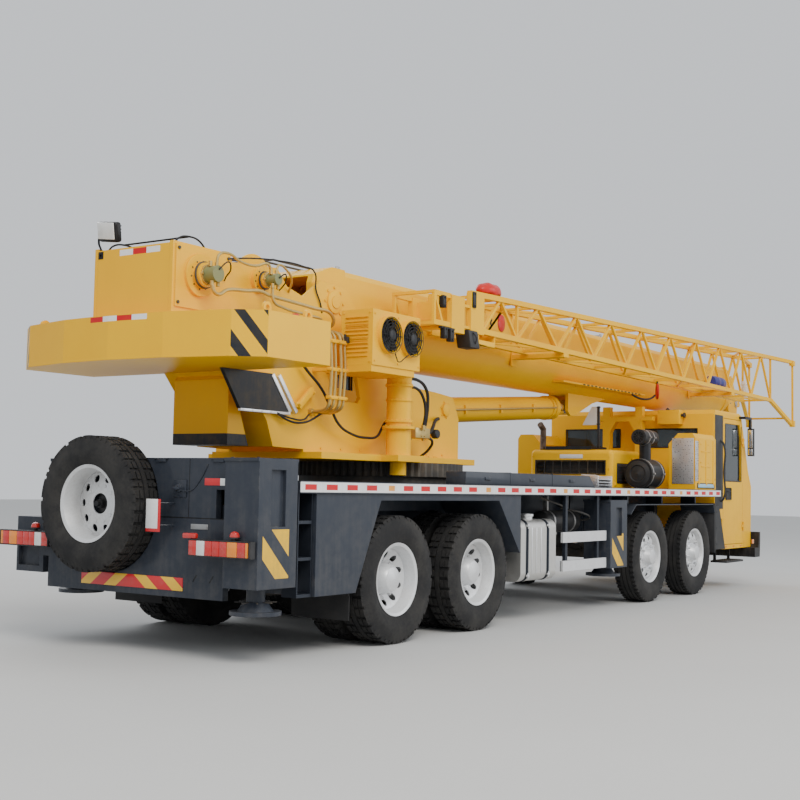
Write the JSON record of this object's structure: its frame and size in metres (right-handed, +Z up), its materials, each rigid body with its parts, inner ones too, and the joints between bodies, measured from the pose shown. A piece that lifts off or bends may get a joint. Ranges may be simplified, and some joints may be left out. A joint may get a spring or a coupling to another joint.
{
  "type": "four-axle truck-mounted telescopic mobile crane",
  "caption": "Truck-mounted telescopic crane with slewing upper works, folded lattice jib, H-type outriggers, twin winches and a low full-width carrier cab.",
  "frame": {"origin": "on the ground under the middle of the crane's outer box", "axes": "+X forward along the boom at rest, +Y to the vehicle's left, +Z up"},
  "size_m": [13.93, 2.78, 3.5273],
  "materials": {
    "carrier_paint": "dark blue-grey paint, satin",
    "crane_yellow": "yellow paint, semi-gloss",
    "machined_steel": "machined steel",
    "chrome": "hard chrome",
    "aluminium": "bright aluminium",
    "cast_iron": "painted casting",
    "tyre": "black rubber",
    "black_plastic": "black plastic",
    "lamp_lens": "red lens",
    "seat_fabric": "dark cloth",
    "glass": "clear tinted glass"
  },
  "bodies": {
    "chassis": {"frame": "carrier_paint", "axles": "cast_iron", "slew_ring": "machined_steel", "body_panels": "carrier_paint", "tail_lamps": "lamp_lens", "spare_wheel": "tyre", "tanks": "aluminium", "side_guards": "aluminium", "deck_housings": "crane_yellow", "engine": "cast_iron", "air_cleaner": "black_plastic", "boom_rest": "crane_yellow", "carrier_cab": "crane_yellow", "carrier_cab_glass": "glass", "carrier_seats": "seat_fabric", "cab_trim": "black_plastic"},
    "turntable": {"turntable": "crane_yellow", "counterweight": "crane_yellow", "oil_cooler": "crane_yellow", "operator_cab": "crane_yellow", "operator_cab_glass": "glass", "operator_seat": "seat_fabric"},
    "boom_1": {"boom_section_1": "crane_yellow", "jib": "crane_yellow"},
    "boom_2": {"boom_section_2": "crane_yellow"},
    "boom_3": {"boom_section_3": "crane_yellow"},
    "boom_4": {"boom_section_4": "crane_yellow"},
    "boom_5": {"boom_section_5": "crane_yellow"},
    "luff_barrel": {"luff_barrel": "crane_yellow"},
    "luff_rod": {"luff_rod": "chrome"},
    "main_winch": {"winch_drum_main": "machined_steel"},
    "auxiliary_winch": {"winch_drum_auxiliary": "machined_steel"},
    "fan_rear": {"fan_rear": "black_plastic"},
    "fan_front": {"fan_front": "black_plastic"},
    "operator_door": {"operator_door": "crane_yellow", "operator_door_glass": "glass"},
    "carrier_door_left": {"carrier_door_left": "crane_yellow", "carrier_door_glass_left": "glass"},
    "carrier_door_right": {"carrier_door_right": "crane_yellow", "carrier_door_glass_right": "glass"},
    "knuckle_axle_1_left": {"knuckle_axle_1_left": "cast_iron"},
    "knuckle_axle_1_right": {"knuckle_axle_1_right": "cast_iron"},
    "knuckle_axle_2_left": {"knuckle_axle_2_left": "cast_iron"},
    "knuckle_axle_2_right": {"knuckle_axle_2_right": "cast_iron"},
    "wheel_axle_1_left": {"wheel_axle_1_left": "tyre"},
    "wheel_axle_1_right": {"wheel_axle_1_right": "tyre"},
    "wheel_axle_2_left": {"wheel_axle_2_left": "tyre"},
    "wheel_axle_2_right": {"wheel_axle_2_right": "tyre"},
    "wheel_axle_3_left": {"wheel_axle_3_left": "tyre"},
    "wheel_axle_3_right": {"wheel_axle_3_right": "tyre"},
    "wheel_axle_4_left": {"wheel_axle_4_left": "tyre"},
    "wheel_axle_4_right": {"wheel_axle_4_right": "tyre"},
    "outrigger_beam_rear_right": {"outrigger_beam_rear_right": "carrier_paint"},
    "outrigger_jack_rear_right": {"outrigger_jack_rear_right": "machined_steel"},
    "outrigger_beam_rear_left": {"outrigger_beam_rear_left": "carrier_paint"},
    "outrigger_jack_rear_left": {"outrigger_jack_rear_left": "machined_steel"},
    "outrigger_beam_front_right": {"outrigger_beam_front_right": "carrier_paint"},
    "outrigger_jack_front_right": {"outrigger_jack_front_right": "machined_steel"},
    "outrigger_beam_front_left": {"outrigger_beam_front_left": "carrier_paint"},
    "outrigger_jack_front_left": {"outrigger_jack_front_left": "machined_steel"}
  },
  "joints": [
    {"name": "slew", "type": "hinge", "parent": "chassis", "child": "turntable", "pos_m": [-3.262, 0, 1.56], "axis": [0, 0, 1], "continuous": true},
    {"name": "boom_luff", "type": "hinge", "parent": "turntable", "child": "boom_1", "pos_m": [-4.635, 0, 3], "axis": [0, -1, 0], "range_deg": [0, 80]},
    {"name": "boom_extend_2", "type": "slide", "parent": "boom_1", "child": "boom_2", "axis": [1, 0, 0], "range_m": [0, 8]},
    {"name": "boom_extend_3", "type": "slide", "parent": "boom_2", "child": "boom_3", "axis": [1, 0, 0], "range_m": [0, 8]},
    {"name": "boom_extend_4", "type": "slide", "parent": "boom_3", "child": "boom_4", "axis": [1, 0, 0], "range_m": [0, 8]},
    {"name": "boom_extend_5", "type": "slide", "parent": "boom_4", "child": "boom_5", "axis": [1, 0, 0], "range_m": [0, 8]},
    {"name": "luff_cylinder_swing", "type": "hinge", "parent": "turntable", "child": "luff_barrel", "pos_m": [-2.685, 0, 2.13], "axis": [0, -1, 0], "range_deg": [0, 89.51]},
    {"name": "luff_rod_extend", "type": "slide", "parent": "luff_barrel", "child": "luff_rod", "axis": [0.9974, 0, 0.0716], "range_m": [0, 2.6333]},
    {"name": "main_winch_turn", "type": "hinge", "parent": "turntable", "child": "main_winch", "pos_m": [-6.435, 0, 2.975], "axis": [0, 1, 0], "continuous": true},
    {"name": "auxiliary_winch_turn", "type": "hinge", "parent": "turntable", "child": "auxiliary_winch", "pos_m": [-5.695, 0, 3.04], "axis": [0, 1, 0], "continuous": true},
    {"name": "fan_rear_spin", "type": "hinge", "parent": "turntable", "child": "fan_rear", "pos_m": [-4.498, -0.95, 2.685], "axis": [0, 1, 0], "continuous": true},
    {"name": "fan_front_spin", "type": "hinge", "parent": "turntable", "child": "fan_front", "pos_m": [-4.148, -0.95, 2.685], "axis": [0, 1, 0], "continuous": true},
    {"name": "operator_door_swing", "type": "hinge", "parent": "turntable", "child": "operator_door", "pos_m": [-3.138, 1.353, 2.4203], "axis": [0, 0, -1], "range_deg": [0, 80]},
    {"name": "carrier_door_left_swing", "type": "hinge", "parent": "chassis", "child": "carrier_door_left", "pos_m": [4.182, 1.263, 1.4], "axis": [0, 0, -1], "range_deg": [0, 70]},
    {"name": "carrier_door_right_swing", "type": "hinge", "parent": "chassis", "child": "carrier_door_right", "pos_m": [4.182, -1.263, 1.4], "axis": [0, 0, 1], "range_deg": [0, 70]},
    {"name": "steer_axle_1_left", "type": "hinge", "parent": "chassis", "child": "knuckle_axle_1_left", "pos_m": [2.09, 1.01, 0.542], "axis": [0, 0, 1], "range_deg": [-32, 32]},
    {"name": "steer_axle_1_right", "type": "hinge", "parent": "chassis", "child": "knuckle_axle_1_right", "pos_m": [2.09, -1.01, 0.542], "axis": [0, 0, 1], "range_deg": [-32, 32]},
    {"name": "steer_axle_2_left", "type": "hinge", "parent": "chassis", "child": "knuckle_axle_2_left", "pos_m": [0.62, 1.01, 0.542], "axis": [0, 0, 1], "range_deg": [-25.6, 25.6]},
    {"name": "steer_axle_2_right", "type": "hinge", "parent": "chassis", "child": "knuckle_axle_2_right", "pos_m": [0.62, -1.01, 0.542], "axis": [0, 0, 1], "range_deg": [-25.6, 25.6]},
    {"name": "roll_axle_1_left", "type": "hinge", "parent": "knuckle_axle_1_left", "child": "wheel_axle_1_left", "pos_m": [2.09, 1.205, 0.542], "axis": [0, 1, 0], "continuous": true},
    {"name": "roll_axle_1_right", "type": "hinge", "parent": "knuckle_axle_1_right", "child": "wheel_axle_1_right", "pos_m": [2.09, -1.205, 0.542], "axis": [0, 1, 0], "continuous": true},
    {"name": "roll_axle_2_left", "type": "hinge", "parent": "knuckle_axle_2_left", "child": "wheel_axle_2_left", "pos_m": [0.62, 1.205, 0.542], "axis": [0, 1, 0], "continuous": true},
    {"name": "roll_axle_2_right", "type": "hinge", "parent": "knuckle_axle_2_right", "child": "wheel_axle_2_right", "pos_m": [0.62, -1.205, 0.542], "axis": [0, 1, 0], "continuous": true},
    {"name": "roll_axle_3_left", "type": "hinge", "parent": "chassis", "child": "wheel_axle_3_left", "pos_m": [-3.485, 1.0375, 0.542], "axis": [0, 1, 0], "continuous": true},
    {"name": "roll_axle_3_right", "type": "hinge", "parent": "chassis", "child": "wheel_axle_3_right", "pos_m": [-3.485, -1.0375, 0.542], "axis": [0, 1, 0], "continuous": true},
    {"name": "roll_axle_4_left", "type": "hinge", "parent": "chassis", "child": "wheel_axle_4_left", "pos_m": [-4.835, 1.0375, 0.542], "axis": [0, 1, 0], "continuous": true},
    {"name": "roll_axle_4_right", "type": "hinge", "parent": "chassis", "child": "wheel_axle_4_right", "pos_m": [-4.835, -1.0375, 0.542], "axis": [0, 1, 0], "continuous": true},
    {"name": "outrigger_slide_rear_right", "type": "slide", "parent": "chassis", "child": "outrigger_beam_rear_right", "axis": [0, -1, 0], "range_m": [0, 1.8]},
    {"name": "outrigger_jack_rear_right", "type": "slide", "parent": "outrigger_beam_rear_right", "child": "outrigger_jack_rear_right", "axis": [0, 0, -1], "range_m": [0, 0.5]},
    {"name": "outrigger_slide_rear_left", "type": "slide", "parent": "chassis", "child": "outrigger_beam_rear_left", "axis": [0, 1, 0], "range_m": [0, 1.8]},
    {"name": "outrigger_jack_rear_left", "type": "slide", "parent": "outrigger_beam_rear_left", "child": "outrigger_jack_rear_left", "axis": [0, 0, -1], "range_m": [0, 0.5]},
    {"name": "outrigger_slide_front_right", "type": "slide", "parent": "chassis", "child": "outrigger_beam_front_right", "axis": [0, -1, 0], "range_m": [0, 1.8]},
    {"name": "outrigger_jack_front_right", "type": "slide", "parent": "outrigger_beam_front_right", "child": "outrigger_jack_front_right", "axis": [0, 0, -1], "range_m": [0, 0.5]},
    {"name": "outrigger_slide_front_left", "type": "slide", "parent": "chassis", "child": "outrigger_beam_front_left", "axis": [0, 1, 0], "range_m": [0, 1.8]},
    {"name": "outrigger_jack_front_left", "type": "slide", "parent": "outrigger_beam_front_left", "child": "outrigger_jack_front_left", "axis": [0, 0, -1], "range_m": [0, 0.5]}
  ],
  "couplings": [
    {"joint": "boom_extend_3", "follows": "boom_extend_2", "ratio": 1},
    {"joint": "boom_extend_4", "follows": "boom_extend_2", "ratio": 1},
    {"joint": "boom_extend_5", "follows": "boom_extend_2", "ratio": 1},
    {"joint": "luff_cylinder_swing", "follows": "boom_luff", "ratio": 1.1187},
    {"joint": "luff_rod_extend", "follows": "boom_luff", "m_per_rad": 1.8856},
    {"joint": "steer_axle_1_right", "follows": "steer_axle_1_left", "ratio": 1},
    {"joint": "steer_axle_2_left", "follows": "steer_axle_1_left", "ratio": 0.8},
    {"joint": "steer_axle_2_right", "follows": "steer_axle_1_left", "ratio": 0.8}
  ]
}
